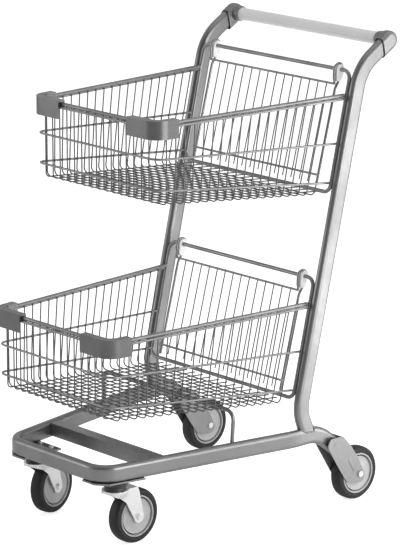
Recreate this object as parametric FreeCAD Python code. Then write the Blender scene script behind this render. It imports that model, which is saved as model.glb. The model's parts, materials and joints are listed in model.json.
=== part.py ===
import FreeCAD, Part
import math
import os

# Two-tier shopping cart. Millimetres, +Z up, floor at z = 0.
# X runs across the cart (left is -X), the nose points to -Y and the push handle to +Y.
# Each function below returns one piece, or one group of like wires or fasteners.

V = FreeCAD.Vector
UP = V(0, 0, 1)
ACROSS = V(1, 0, 0)

# The whole cart is moved along Y by this much, so that its bounding box is centred on the origin.
CENTRING_Y = -3.08

# Frame tube: flat-sided oval
TUBE_LONG = 40.0
TUBE_SHORT = 20.0
TUBE_WALL = 1.6
SIDE_X = 253.0            # centre of rails' rear part and of uprights

# Base frame
RAIL_Z = 182.0
FRONT_Y = -390.0
FRONT_HALF = 157.0        # half width where rail and front tube lines meet
SPLAY_Y = 100.0           # rails turn parallel behind this
FRONT_BEND = 50.0
SPLAY_BEND = 160.0
TAIL_START_Y = 172.0
TAIL_ANGLE = 38.0
TAIL_LENGTH = 66.0
TAIL_BEND = 90.0
CROSS_SIZE = 30.0
CROSS_WALL = 1.5
CROSS_Y = -241.0
CROSS_Z = 183.0

# Uprights: a straight leaning middle, a foot that curves back, a top that bends to the handle
LEAN = 0.2364             # run in Y per unit of height
LEAN_Y0 = 119.0
LEAN_Z0 = 250.0
FOOT_Y = 139.0
FOOT_Z = 194.0
FOOT_ANGLE = 25.0
FOOT_BEND = 90.0
NECK_ANGLE = 31.0
NECK_BEND = 100.0
NECK_Y = 361.0            # where the corner moulding starts
NECK_Z = 1043.0
NECK_INSERT = 12.0

# Handle
GRIP_HALF = 222.0
GRIP_R = 15.0
BAR_R = 11.0
BAR_HALF = 243.0
ELBOW_REACH = 29.0
ELBOW_R = 24.0
ELBOW_HALF_WIDTH = 14.5
ELBOW_ROUND = 6.0
SEAM_T = 2.4

# Basket wires
RIM_R = 4.5
EDGE_R = 3.0
BAND_R = 2.5
WIRE_R = 1.5
LOOP_R = 4.5
LOOP_HALF = 239.3
LOOP_OFFSET = 15.3        # loop plane lies this far in front of the uprights' centre line
LOOP_DROP = 275.0
LOOP_BEND_TOP = 20.0
LOOP_BEND_BOTTOM = 18.0
EDGE_DROP = 6.8
RIM_BEND = 24.0
WIRE_BEND = 12.0
FRONT_WIRES = 15
FLOOR_SPREAD = 1.19       # long floor wires fan out by this factor towards the back
MID_DROP_FRONT = 75.0
MID_DROP_REAR = 106.0
LOW_DROP_FRONT = 143.0
LOW_DROP_REAR = 193.0
FLOOR_DROP = 176.0
FLOOR_SLOPE = 0.0925

UPPER = dict(rim_z=946.0, front_y=-262.0, front_half=197.0, hinge_z=998.6, side_wires=19,
             top_last=232.0, bottom_last=178.0)
LOWER = dict(rim_z=485.0, front_y=-390.0, front_half=186.0, hinge_z=540.6, side_wires=20,
             top_last=128.0, bottom_last=76.0)
REAR_HALF = 237.0

# Hinged gate
GATE_ROD_R = 3.0
GATE_CROSS_R = 2.5
GATE_WIRE_R = 1.4
GATE_HALF = 202.0
GATE_WIRES = 14
GATE_WIRE_HALF = 175.0
GATE_CLEAR = 0.3
GATE_LENGTH = 264.0
GATE_TOP_WIRE = 34.0
GATE_LOW_WIRE = 241.0
HOOK_R = 13.0
BUSH_R = 11.5
BUSH_TAIL_R = 7.5
BUSH_TAIL = 20.0
BUSH_HALF = 7.0
BUSH_CLEAR = 0.06

# Corner bumpers
BUMPER_TOP = 9.0
BUMPER_HEIGHT = 41.0
BUMPER_WALL = 4.0
BUMPER_OUT = 12.5
BUMPER_IN = 7.0
BUMPER_LIP = 12.0
BUMPER_FRONT_LEG = 84.0
BUMPER_SIDE_LEG = 50.0

# Support rod under the lower basket
SUPPORT_R = 4.5
SUPPORT_Y = -58.0
SUPPORT_HALF = 222.0
SUPPORT_FOOT = 216.0
SUPPORT_BEND = 20.0

# Wheels
WHEEL_R = 62.5
TYRE_HALF = 16.0
TYRE_BED_R = 50.0
HUB_HALF = 15.0
BUSHING_R = 9.0
BUSHING_HALF = 17.6
AXLE_R = 4.0
RUN_CLEAR = 0.06
FORK_IN = 18.0
FORK_T = 2.6
HEAD_H = 5.0
RIVET_R = 5.5
RIVET_H = 0.8
HEAD_R = 7.5
REAR_WHEEL_Y = 292.0
WEB_BOLT = (248.5, 147.5)  # Y and Z of the top bolt on the fork's sloping web
WEB_OUT = V(0, 0.735, 0.678)

# Front casters
SWIVEL_X = 134.0
SWIVEL_Y = -332.0
TRAIL = 52.0
LEFT_YAW = 12.0           # the left caster stands turned by this much at rest
PLATE_TOP = 162.0
PLATE_T = 4.0
HEAD_LOW = 143.6
CROWN_Z = 131.0
CROWN_T = 3.0
CROWN_R = 30.0
RACE_R = 24.0
RACE_TOP = 143.2
CAP_R = 28.0
PIN_R = 6.0
PLATE_BOLTS = ((19.0, 27.0), (-19.0, 27.0), (-19.0, -27.0))


def fillet_path(points, radii):
    """Edges of a polyline whose inner corners are rounded by the given radii."""
    edges = []
    start = points[0]
    for i in range(1, len(points) - 1):
        corner = points[i]
        u = (corner - points[i - 1]).normalize()
        w = (points[i + 1] - corner).normalize()
        turn = u.getAngle(w)
        reach = radii[i - 1] * math.tan(turn / 2)
        a = corner - u * reach
        b = corner + w * reach
        inward = (w - u).normalize()
        centre = corner + inward * (radii[i - 1] / math.cos(turn / 2))
        middle = centre - inward * radii[i - 1]
        if (a - start).Length > 1e-4:
            edges.append(Part.makeLine(start, a))
        edges.append(Part.Arc(a, middle, b).toShape())
        start = b
    edges.append(Part.makeLine(start, points[-1]))
    return edges


def sweep(points, radii, profile):
    """Solid made by carrying a closed profile along the rounded polyline."""
    spine = Part.Wire(fillet_path(points, radii))
    return spine.makePipeShell([profile], True, False)


def rod(points, radii, r):
    """Round bent rod."""
    direction = (points[1] - points[0]).normalize()
    ring = Part.Wire(Part.makeCircle(r, points[0], direction))
    return sweep(points, radii, ring)


def bent_halves(start, corner, end, r):
    """Edges from start to the middle of the rounded corner, and from there to end."""
    line_in, bend, line_out = fillet_path([start, corner, end], [r])
    first, last = bend.ParameterRange
    middle = (first + last) / 2
    return ([line_in, bend.Curve.toShape(first, middle)],
            [bend.Curve.toShape(middle, last), line_out])


def pipe(edges, r):
    """Round wire along joined edges."""
    spine = Part.Wire(edges)
    start = edges[0].valueAt(edges[0].FirstParameter)
    ring = Part.Wire(Part.makeCircle(r, start, edges[0].tangentAt(edges[0].FirstParameter)))
    return spine.makePipeShell([ring], True, False)


def stadium(centre, long_axis, short_axis, long_size, short_size):
    """Flat-sided oval wire."""
    r = short_size / 2
    s = long_size / 2 - r
    p = centre + long_axis * s
    q = centre - long_axis * s
    a, b = p + short_axis * r, q + short_axis * r
    c, d = q - short_axis * r, p - short_axis * r
    return Part.Wire([
        Part.makeLine(a, b),
        Part.Arc(b, q - long_axis * r, c).toShape(),
        Part.makeLine(c, d),
        Part.Arc(d, p + long_axis * r, a).toShape(),
    ])


def oval_tube(points, radii, long_axis, grow=0.0):
    """Flat-sided oval bar along a bent path; grow changes both sizes."""
    direction = (points[1] - points[0]).normalize()
    short_axis = direction.cross(long_axis)
    profile = stadium(points[0], long_axis, short_axis, TUBE_LONG + grow, TUBE_SHORT + grow)
    return sweep(points, radii, profile)


def mirrored(shape):
    """Left-hand copy of a right-hand piece."""
    return shape.mirror(V(0, 0, 0), ACROSS)


def cylinder(r, length, base, axis):
    """Round bar from a base point along an axis."""
    return Part.makeCylinder(r, length, base, axis)


def hexagon(across_r, length, base, axis):
    """Hexagonal head or nut along Z or X."""
    side = ACROSS if abs(axis.z) > 0.5 else UP
    other = axis.cross(side)
    corners = []
    for k in range(7):
        a = math.radians(60 * k)
        corners.append(base + side * (across_r * math.cos(a)) + other * (across_r * math.sin(a)))
    return Part.Face(Part.makePolygon(corners)).extrude(axis * length)


def prism_yz(outline, x0, x1):
    """Flat plate with a Y-Z outline, between two X values."""
    corners = [V(x0, y, z) for y, z in outline]
    corners.append(corners[0])
    return Part.Face(Part.makePolygon(corners)).extrude(V(x1 - x0, 0, 0))


def upright_line(z):
    """Y of the uprights' straight centre line at a height."""
    return LEAN_Y0 + LEAN * (z - LEAN_Z0)


def loop_line(z):
    """Y of the back loops' plane at a height."""
    return upright_line(z) - LOOP_OFFSET


def meet(y, z, run, rise):
    """Where a line through (y, z) meets the uprights' centre line."""
    t = (upright_line(z) - y) / (run - LEAN * rise)
    return y + run * t, z + rise * t


# ---------------------------------------------------------------- frame

def base_solid(grow):
    """Front tube and both rails, with their down-turned tails."""
    split_y = 120.0
    level = [
        V(SIDE_X, split_y, RAIL_Z),
        V(SIDE_X, SPLAY_Y, RAIL_Z),
        V(FRONT_HALF, FRONT_Y, RAIL_Z),
        V(-FRONT_HALF, FRONT_Y, RAIL_Z),
        V(-SIDE_X, SPLAY_Y, RAIL_Z),
        V(-SIDE_X, split_y, RAIL_Z),
    ]
    solid = oval_tube(level, [SPLAY_BEND, FRONT_BEND, FRONT_BEND, SPLAY_BEND], UP, grow)
    a = math.radians(TAIL_ANGLE)
    tail_path = [
        V(SIDE_X, split_y, RAIL_Z),
        V(SIDE_X, TAIL_START_Y, RAIL_Z),
        V(SIDE_X, TAIL_START_Y + TAIL_LENGTH * math.cos(a), RAIL_Z - TAIL_LENGTH * math.sin(a)),
    ]
    tail = oval_tube(tail_path, [TAIL_BEND], UP, grow)
    return solid.fuse([tail, mirrored(tail)]).removeSplitter()


def base_frame():
    """Hollow base tube, open at both tails and drilled for the fork bolts."""
    side_hole = fork_bolt_shafts()[0]
    tube = base_solid(0.0).cut(base_solid(-2 * TUBE_WALL))
    return tube.cut([side_hole, mirrored(side_hole)])


def cross_member():
    """Square tube between the rails, shaped to their sides."""
    half = CROSS_SIZE / 2
    reach = SIDE_X
    bar = Part.makeBox(2 * reach, CROSS_SIZE, CROSS_SIZE, V(-reach, CROSS_Y - half, CROSS_Z - half))
    inner = CROSS_SIZE - 2 * CROSS_WALL
    core = Part.makeBox(2 * reach, inner, inner, V(-reach, CROSS_Y - inner / 2, CROSS_Z - inner / 2))
    pieces = bar.cut(core).cut(base_solid(0.0)).Solids
    return [s for s in pieces if abs(s.CenterOfMass.x) < 1.0][0]


def upright_path(x):
    """Corners of the upright's centre line, from the foot to its end inside the moulding."""
    foot = math.radians(FOOT_ANGLE)
    vy, vz = meet(FOOT_Y, FOOT_Z, -math.sin(foot), math.cos(foot))
    neck = math.radians(NECK_ANGLE)
    ny, nz = meet(NECK_Y, NECK_Z, math.cos(neck), math.sin(neck))
    end_y = NECK_Y + NECK_INSERT * math.cos(neck)
    end_z = NECK_Z + NECK_INSERT * math.sin(neck)
    return [V(x, FOOT_Y, FOOT_Z), V(x, vy, vz), V(x, ny, nz), V(x, end_y, end_z)]


def upright_solid(grow):
    """Right upright as a bar."""
    path = upright_path(SIDE_X)
    direction = (path[1] - path[0]).normalize()
    long_axis = direction.cross(ACROSS)
    return oval_tube(path, [FOOT_BEND, NECK_BEND], long_axis, grow)


def upright():
    """Hollow right upright, its foot shaped to the rail."""
    return upright_solid(0.0).cut(upright_solid(-2 * TUBE_WALL)).cut(base_solid(0.0))


def grip_axis():
    """Y and Z of the handle's centre line."""
    neck = math.radians(NECK_ANGLE)
    return NECK_Y + ELBOW_REACH * math.cos(neck), NECK_Z + ELBOW_REACH * math.sin(neck)


def handle_bar():
    """Steel tube that joins the two corner mouldings."""
    y, z = grip_axis()
    outer = cylinder(BAR_R, 2 * BAR_HALF, V(-BAR_HALF, y, z), ACROSS)
    return outer.cut(cylinder(BAR_R - TUBE_WALL, 2 * BAR_HALF, V(-BAR_HALF, y, z), ACROSS))


def handle_grip():
    """Plastic sleeve over the handle bar."""
    y, z = grip_axis()
    outer = cylinder(GRIP_R, 2 * GRIP_HALF, V(-GRIP_HALF, y, z), ACROSS)
    return outer.cut(cylinder(BAR_R, 2 * GRIP_HALF, V(-GRIP_HALF, y, z), ACROSS))


def neck_prism(low, high, half_long, x0, x1):
    """Block across the neck, from one distance past the seam to another."""
    neck = math.radians(NECK_ANGLE)
    run = V(0, math.cos(neck), math.sin(neck))
    rise = V(0, -math.sin(neck), math.cos(neck))
    seam = V(0, NECK_Y, NECK_Z)
    corners = []
    for along, side in ((low, -1), (high, -1), (high, 1), (low, 1)):
        p = seam + run * along + rise * (side * half_long)
        corners.append((p.y, p.z))
    return prism_yz(corners, x0, x1)


def elbow():
    """Right corner moulding: a barrel on the handle axis with a socket for the upright."""
    y, z = grip_axis()
    x0 = SIDE_X - ELBOW_HALF_WIDTH
    x1 = SIDE_X + ELBOW_HALF_WIDTH
    barrel = cylinder(ELBOW_R, x1 - x0, V(x0, y, z), ACROSS)
    body = neck_prism(0.0, ELBOW_REACH, ELBOW_R, x0, x1).fuse(barrel).removeSplitter()
    rim = [e for e in body.Edges if abs(e.BoundBox.XMin - x1) < 1e-3 and e.BoundBox.XLength < 1e-3]
    rim = [e for e in rim if e.CenterOfMass.sub(V(x1, NECK_Y, NECK_Z)).Length > 3.0]
    body = body.makeFillet(ELBOW_ROUND, rim)
    nose = Part.makeCone(ELBOW_R - 4.0, GRIP_R + 2.0, x0 - GRIP_HALF + 2.0, V(x0 + 2.0, y, z), -ACROSS)
    collar = cylinder(GRIP_R + 2.0, 6.0, V(GRIP_HALF - 4.0, y, z), ACROSS)
    body = body.fuse([nose, collar])
    body = body.cut(cylinder(BAR_R, BAR_HALF, V(0, y, z), ACROSS))
    body = body.cut(cylinder(GRIP_R, GRIP_HALF, V(0, y, z), ACROSS))
    return body.cut(upright_solid(0.0)).Solids[0]


def seam_ring():
    """Dark gasket round the right upright where the moulding starts."""
    half = ELBOW_HALF_WIDTH - 0.7
    ring = neck_prism(-SEAM_T, -0.02, ELBOW_R - 0.7, SIDE_X - half, SIDE_X + half)
    return ring.cut(upright_solid(0.0))


def support_rod():
    """Bent rod that carries the lower basket on the rails."""
    floor_z = LOWER["rim_z"] - FLOOR_DROP - FLOOR_SLOPE * (SUPPORT_Y - LOWER["front_y"])
    top = floor_z - WIRE_R - SUPPORT_R - 0.1
    points = [
        V(SUPPORT_FOOT, SUPPORT_Y, RAIL_Z + 12.0),
        V(SUPPORT_HALF, SUPPORT_Y, top),
        V(-SUPPORT_HALF, SUPPORT_Y, top),
        V(-SUPPORT_FOOT, SUPPORT_Y, RAIL_Z + 12.0),
    ]
    return rod(points, [SUPPORT_BEND, SUPPORT_BEND], SUPPORT_R).cut(base_solid(0.0))


# ---------------------------------------------------------------- baskets

def back_loop(basket):
    """Closed rod loop between the uprights; its top stretch is the gate's hinge."""
    z = basket["hinge_z"]
    down = V(0, LEAN, 1).normalize() * LOOP_DROP
    top = V(0, loop_line(z), z)
    low = top - down
    side = V(LOOP_HALF, 0, 0)
    half = rod([top, top + side, low + side, low], [LOOP_BEND_TOP, LOOP_BEND_BOTTOM], LOOP_R)
    return half.fuse(mirrored(half)).removeSplitter()


def wall_half(basket, y):
    """Half width of a basket's side walls at a Y value."""
    rear_y = loop_line(basket["rim_z"])
    share = (y - basket["front_y"]) / (rear_y - basket["front_y"])
    return basket["front_half"] + (REAR_HALF - basket["front_half"]) * share


def floor_z(basket, y):
    """Height of the cross wires' centre line."""
    return basket["rim_z"] - FLOOR_DROP - FLOOR_SLOPE * (y - basket["front_y"])


def u_rod(basket, drop_front, drop_rear, out, r):
    """Rod round both sides and the front of a basket, ending at the back loop."""
    z_front = basket["rim_z"] - drop_front
    z_rear = basket["rim_z"] - drop_rear
    y_rear = loop_line(z_rear) - (LOOP_R + r * LEAN + 0.3) * math.hypot(1, LEAN)
    y_front = basket["front_y"] - out
    x_rear = wall_half(basket, y_rear) + out
    x_front = wall_half(basket, y_front) + out
    points = [
        V(x_rear, y_rear, z_rear),
        V(x_front, y_front, z_front),
        V(-x_front, y_front, z_front),
        V(-x_rear, y_rear, z_rear),
    ]
    return rod(points, [RIM_BEND + out, RIM_BEND + out], r)


def rim(basket):
    """Heavy top rod."""
    return u_rod(basket, 0.0, 0.0, 0.0, RIM_R)


def edge_rod(basket):
    """Thinner rod just below and outside the rim."""
    return u_rod(basket, EDGE_DROP, EDGE_DROP, WIRE_R + EDGE_R, EDGE_R)


def bands(basket):
    """The two wires that bind the walls from outside."""
    out = WIRE_R + BAND_R
    middle = u_rod(basket, MID_DROP_FRONT, MID_DROP_REAR, out, BAND_R)
    low = u_rod(basket, LOW_DROP_FRONT, LOW_DROP_REAR, out, BAND_R)
    return [middle, low]


def side_stations(basket):
    """Top and bottom Y of each side wire; the wires fan back towards the rear."""
    first = basket["front_y"] + RIM_BEND + 2.0
    n = basket["side_wires"]
    stations = []
    for i in range(n):
        share = i / (n - 1)
        top = first + (basket["top_last"] - first) * share
        bottom = first + (basket["bottom_last"] - first) * share
        stations.append((top, bottom))
    return stations


def side_wires(basket):
    """Upright wires of both side walls, down to the middle of their bends."""
    wires = []
    for station in side_stations(basket):
        wall_half_run = bent_halves(*side_corner(basket, station), WIRE_BEND)[0]
        wire = pipe(wall_half_run, WIRE_R)
        wires.append(wire)
        wires.append(mirrored(wire))
    return wires


def side_corner(basket, station):
    """Top, corner and floor middle of the wire that starts at one side station."""
    top, bottom = station
    z_low = floor_z(basket, bottom)
    start = V(wall_half(basket, top), top, basket["rim_z"] - RIM_R - WIRE_R * LEAN)
    return start, V(wall_half(basket, bottom), bottom, z_low), V(0, bottom, z_low)


def cross_wires(basket):
    """Floor wires from wall to wall, each with the lower halves of its two bends."""
    wires = []
    for station in side_stations(basket):
        floor_half_run = bent_halves(*side_corner(basket, station), WIRE_BEND)[1]
        half = pipe(floor_half_run, WIRE_R)
        wires.append(half.fuse(mirrored(half)).removeSplitter())
    return wires


def front_stations(basket):
    """X of each front wire."""
    half = basket["front_half"] - RIM_BEND - 1.0
    return [-half + 2 * half * i / (FRONT_WIRES - 1) for i in range(FRONT_WIRES)]


def front_corner(basket, x):
    """Top, corner and back end of one front wire, whose floor part lies on the cross wires."""
    lift = 2 * WIRE_R + 0.02
    low_z = basket["hinge_z"] - LOOP_DROP / math.hypot(1, LEAN)
    y_back = loop_line(low_z) - LOOP_R - 0.5
    start = V(x, basket["front_y"], basket["rim_z"] - RIM_R)
    corner = V(x, basket["front_y"], floor_z(basket, basket["front_y"]) + lift)
    return start, corner, V(x * FLOOR_SPREAD, y_back, floor_z(basket, y_back) + lift)


def front_wires(basket):
    """Upright wires of the front wall, down to the middle of their bends."""
    return [pipe(bent_halves(*front_corner(basket, x), WIRE_BEND)[0], WIRE_R)
            for x in front_stations(basket)]


def long_wires(basket):
    """Floor wires from the front bends to the back loop."""
    return [pipe(bent_halves(*front_corner(basket, x), WIRE_BEND)[1], WIRE_R)
            for x in front_stations(basket)]


def bumper_path(basket, out):
    """Centre line of the right bumper, a distance outside the rim."""
    y_side = basket["front_y"] + BUMPER_SIDE_LEG
    x_in = basket["front_half"] - BUMPER_FRONT_LEG
    y_front = basket["front_y"] - out
    points = [
        V(x_in, y_front, 0),
        V(wall_half(basket, y_front) + out, y_front, 0),
        V(wall_half(basket, y_side) + out, y_side, 0),
    ]
    return points, RIM_BEND + out


def bumper_layer(basket, inner, outer, z_low, z_high):
    """L-shaped wall between two distances outside the rim."""
    out = (inner + outer) / 2
    points, bend = bumper_path(basket, out)
    rise = V(0, 0, basket["rim_z"] + z_low)
    points = [p + rise for p in points]
    half = (outer - inner) / 2
    y = points[0].y
    x = points[0].x
    z0 = basket["rim_z"] + z_low
    z1 = basket["rim_z"] + z_high
    ring = Part.makePolygon([V(x, y - half, z0), V(x, y + half, z0), V(x, y + half, z1),
                             V(x, y - half, z1), V(x, y - half, z0)])
    return sweep(points, [bend], ring)


def bumper(basket):
    """Right corner bumper: tall outer wall, top, and a short inner lip over the rim."""
    low = BUMPER_TOP - BUMPER_HEIGHT
    outer = bumper_layer(basket, BUMPER_OUT - BUMPER_WALL, BUMPER_OUT, low, BUMPER_TOP)
    top = bumper_layer(basket, -BUMPER_IN, BUMPER_OUT, RIM_R, BUMPER_TOP)
    lip = bumper_layer(basket, -BUMPER_IN, -RIM_R - 0.1, -BUMPER_LIP, BUMPER_TOP)
    return outer.fuse([top, lip]).removeSplitter()


# ---------------------------------------------------------------- gates

def gate_angle():
    """Angle of the closed gate from the vertical: its rods rest on the loop's bottom stretch."""
    gap = LOOP_R + GATE_ROD_R + GATE_CLEAR
    return math.atan(LEAN) + math.asin(gap / LOOP_DROP)


def gate_point(basket, x, down, off):
    """Point a distance down the gate from the hinge and a distance off its plane to the rear."""
    a = gate_angle()
    y = loop_line(basket["hinge_z"]) - down * math.sin(a) + off * math.cos(a)
    z = basket["hinge_z"] - down * math.cos(a) - off * math.sin(a)
    return V(x, y, z)


def gate_rod(basket, x):
    """Side rod with its hook over the hinge bush."""
    points = [
        gate_point(basket, x, GATE_LENGTH, 0.0),
        gate_point(basket, x, BUSH_TAIL + 24.0, 0.0),
        gate_point(basket, x, BUSH_TAIL - 8.0, HOOK_R),
        gate_point(basket, x, 0.0, HOOK_R),
    ]
    leg = rod(points, [16.0, 12.0], GATE_ROD_R)
    a = gate_point(basket, x, 0.0, HOOK_R)
    b = gate_point(basket, x, -HOOK_R, 0.0)
    c = gate_point(basket, x, 0.0, -HOOK_R)
    arc = Part.Wire([Part.Arc(a, b, c).toShape()])
    tangent = (a - gate_point(basket, x, 1.0, HOOK_R)).normalize()
    ring = Part.Wire(Part.makeCircle(GATE_ROD_R, a, tangent))
    hook = arc.makePipeShell([ring], True, False)
    stop = GATE_TOP_WIRE - GATE_CROSS_R - 0.1
    end = gate_point(basket, x, stop, -GATE_ROD_R - GATE_CROSS_R)
    tail = rod([c, gate_point(basket, x, 9.0, -HOOK_R), end], [20.0], GATE_ROD_R)
    return leg.fuse([hook, tail]).removeSplitter()


def gate_frame(basket):
    """Two hooked side rods and the two cross wires in front of them."""
    pieces = [gate_rod(basket, GATE_HALF), gate_rod(basket, -GATE_HALF)]
    off = -GATE_ROD_R - GATE_CROSS_R
    half = GATE_HALF + GATE_ROD_R
    for down in (GATE_TOP_WIRE, GATE_LOW_WIRE):
        start = gate_point(basket, -half, down, off)
        pieces.append(cylinder(GATE_CROSS_R, 2 * half, start, ACROSS))
    return pieces


def gate_wires(basket):
    """Thin parallel wires behind the cross wires."""
    off = -GATE_ROD_R + GATE_WIRE_R
    wires = []
    for i in range(GATE_WIRES):
        x = -GATE_WIRE_HALF + 2 * GATE_WIRE_HALF * i / (GATE_WIRES - 1)
        start = gate_point(basket, x, GATE_TOP_WIRE - GATE_CROSS_R, off)
        end = gate_point(basket, x, GATE_LENGTH - 4.0, off)
        span = end - start
        wires.append(cylinder(GATE_WIRE_R, span.Length, start, span))
    return wires


def gate_bush(basket, x):
    """Plastic hinge bush: round head on the hinge rod, narrower tail between the hook's legs."""
    head_at = gate_point(basket, x - BUSH_HALF, 0.0, 0.0)
    tail_at = gate_point(basket, x - BUSH_HALF, BUSH_TAIL, 0.0)
    head = cylinder(BUSH_R, 2 * BUSH_HALF, head_at, ACROSS)
    tail = cylinder(BUSH_TAIL_R, 2 * BUSH_HALF, tail_at, ACROSS)
    slope = math.asin((BUSH_R - BUSH_TAIL_R) / BUSH_TAIL)
    sides = []
    for r, down in ((BUSH_R, 0.0), (BUSH_TAIL_R, BUSH_TAIL)):
        sides.append((down + r * math.sin(slope), r * math.cos(slope)))
    corners = []
    for down, off in (sides[0], sides[1], (sides[1][0], -sides[1][1]), (sides[0][0], -sides[0][1])):
        p = gate_point(basket, x, down, off)
        corners.append((p.y, p.z))
    web = prism_yz(corners, x - BUSH_HALF, x + BUSH_HALF)
    body = head.fuse([tail, web]).removeSplitter()
    bore_at = gate_point(basket, x - 2 * BUSH_HALF, 0.0, 0.0)
    body = body.cut(cylinder(LOOP_R + BUSH_CLEAR, 4 * BUSH_HALF, bore_at, ACROSS))
    return body.cut(gate_rod(basket, x)).Solids[0]


def gate_bushes(basket):
    """Both hinge bushes of one gate."""
    return [gate_bush(basket, GATE_HALF), gate_bush(basket, -GATE_HALF)]


# ---------------------------------------------------------------- wheels

def turned(profile):
    """Solid of revolution about X from (x, r) points."""
    corners = [V(x, 0, r) for x, r in profile]
    corners.append(corners[0])
    return Part.Face(Part.makePolygon(corners)).revolve(V(0, 0, 0), ACROSS, 360)


def tyre():
    """Rubber tyre with rounded shoulders, centred on its own axis."""
    h = TYRE_HALF
    profile = [(-h, TYRE_BED_R), (h, TYRE_BED_R), (h, WHEEL_R - 7.0), (h - 1.8, WHEEL_R - 3.6),
               (h - 5.2, WHEEL_R - 1.0), (h - 10.0, WHEEL_R), (-h + 10.0, WHEEL_R),
               (-h + 5.2, WHEEL_R - 1.0), (-h + 1.8, WHEEL_R - 3.6), (-h, WHEEL_R - 7.0)]
    return turned(profile)


def hub():
    """Plastic wheel centre: raised boss, recessed disc, and a ring groove by the tyre."""
    half = [(HUB_HALF, BUSHING_R), (HUB_HALF, 15.0), (HUB_HALF - 3.0, 17.5), (HUB_HALF - 3.0, 39.0),
            (HUB_HALF - 1.0, 42.5), (HUB_HALF - 3.0, 43.2), (HUB_HALF - 3.0, 45.2),
            (HUB_HALF, 46.2), (HUB_HALF, TYRE_BED_R)]
    other = [(-x, r) for x, r in reversed(half)]
    return turned(half + other)


def bushing():
    """Sleeve bearing in the hub."""
    outer = cylinder(BUSHING_R, 2 * BUSHING_HALF, V(-BUSHING_HALF, 0, 0), ACROSS)
    bore = cylinder(AXLE_R + RUN_CLEAR, 2 * BUSHING_HALF, V(-BUSHING_HALF, 0, 0), ACROSS)
    return outer.cut(bore)


def axle():
    """Axle bolt with its head, and a nut on the other end."""
    reach = FORK_IN + FORK_T
    shaft = cylinder(AXLE_R, 2 * reach + 2 * HEAD_H, V(-reach - HEAD_H, 0, 0), ACROSS)
    head = hexagon(HEAD_R, HEAD_H, V(reach, 0, 0), ACROSS)
    nut = hexagon(HEAD_R, HEAD_H - 1.0, V(-reach, 0, 0), -ACROSS)
    return shaft.fuse([head, nut]).removeSplitter()


def fork_plates(outline, bore_at):
    """Two side plates with an axle hole each."""
    plates = []
    for x0 in (FORK_IN, -FORK_IN - FORK_T):
        plate = prism_yz(outline, x0, x0 + FORK_T)
        uprights = [e for e in plate.Edges if e.BoundBox.YLength < 1e-6 and e.BoundBox.ZLength < 1e-6]
        plates.append(plate.makeFillet(4.0, uprights))
    hole = cylinder(AXLE_R, 4 * FORK_IN, V(-2 * FORK_IN, bore_at[0], bore_at[1]), ACROSS)
    return [p.cut(hole) for p in plates]


def round_tip(centre, r, start, end, steps):
    """Points of an arc in Y-Z, angles in degrees from +Y."""
    points = []
    for i in range(steps + 1):
        a = math.radians(start + (end - start) * i / steps)
        points.append((centre[0] + r * math.cos(a), centre[1] + r * math.sin(a)))
    return points


def front_fork():
    """Swivelling fork, with its swivel axis on x = y = 0 and the wheel trailing to +Y."""
    tip = round_tip((TRAIL, WHEEL_R), 15.0, 15.0, -165.0, 6)
    outline = [(-22.0, CROWN_Z + CROWN_T), (47.0, CROWN_Z + CROWN_T), (52.0, 122.0)]
    outline += tip + [(13.0, 104.0), (-4.0, 118.0)]
    plates = fork_plates(outline, (TRAIL, WHEEL_R))
    width = FORK_IN + FORK_T
    disc = cylinder(CROWN_R, CROWN_T, V(0, 0, CROWN_Z), UP)
    web = Part.makeBox(2 * width, 47.0, CROWN_T, V(-width, 0, CROWN_Z))
    race = cylinder(RACE_R, RACE_TOP - CROWN_Z, V(0, 0, CROWN_Z), UP)
    body = disc.fuse([web, race] + plates).removeSplitter()
    return body.cut(cylinder(PIN_R + RUN_CLEAR, 40.0, V(0, 0, CROWN_Z - 10.0), UP))


def caster_head():
    """Dark bearing housing under the mounting plate, on the swivel axis."""
    low = cylinder(CAP_R, 8.0, V(0, 0, HEAD_LOW), UP)
    top = Part.makeCone(CAP_R, CAP_R - 4.0, PLATE_TOP - PLATE_T - HEAD_LOW - 8.0, V(0, 0, HEAD_LOW + 8.0), UP)
    return low.fuse(top).cut(cylinder(PIN_R, 40.0, V(0, 0, HEAD_LOW - 10.0), UP)).removeSplitter()


def kingpin():
    """Swivel bolt, with its head under the fork crown."""
    head_z = CROWN_Z - 0.4 - HEAD_H
    shaft = cylinder(PIN_R, PLATE_TOP - PLATE_T - head_z, V(0, 0, head_z), UP)
    return shaft.fuse(hexagon(10.0, HEAD_H, V(0, 0, head_z), UP)).removeSplitter()


def caster_plate():
    """Mounting plate under the right corner of the base frame."""
    z = PLATE_TOP - PLATE_T
    corners = [(100.0, -398.0), (140.0, -398.0), (168.0, -376.0), (186.0, -288.0), (100.0, -288.0)]
    ring = [V(x, y, z) for x, y in corners]
    ring.append(ring[0])
    plate = Part.Face(Part.makePolygon(ring)).extrude(V(0, 0, PLATE_T))
    for dx, dy in PLATE_BOLTS:
        at = V(SWIVEL_X + dx, SWIVEL_Y + dy, z - 1.0)
        plate = plate.cut(cylinder(AXLE_R, PLATE_T + 2.0, at, UP))
    return plate


def plate_bolts():
    """Right caster plate's bolts: head below, nut above."""
    bolts = []
    z = PLATE_TOP - PLATE_T
    for dx, dy in PLATE_BOLTS:
        at = V(SWIVEL_X + dx, SWIVEL_Y + dy, 0)
        shaft = cylinder(AXLE_R, PLATE_T + HEAD_H + 7.0, at + UP * (z - HEAD_H), UP)
        head = hexagon(HEAD_R - 1.0, HEAD_H, at + UP * (z - HEAD_H), UP)
        nut = hexagon(HEAD_R - 1.0, HEAD_H, at + UP * PLATE_TOP, UP)
        bolts.append(shaft.fuse([head, nut]).removeSplitter())
    return bolts


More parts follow.
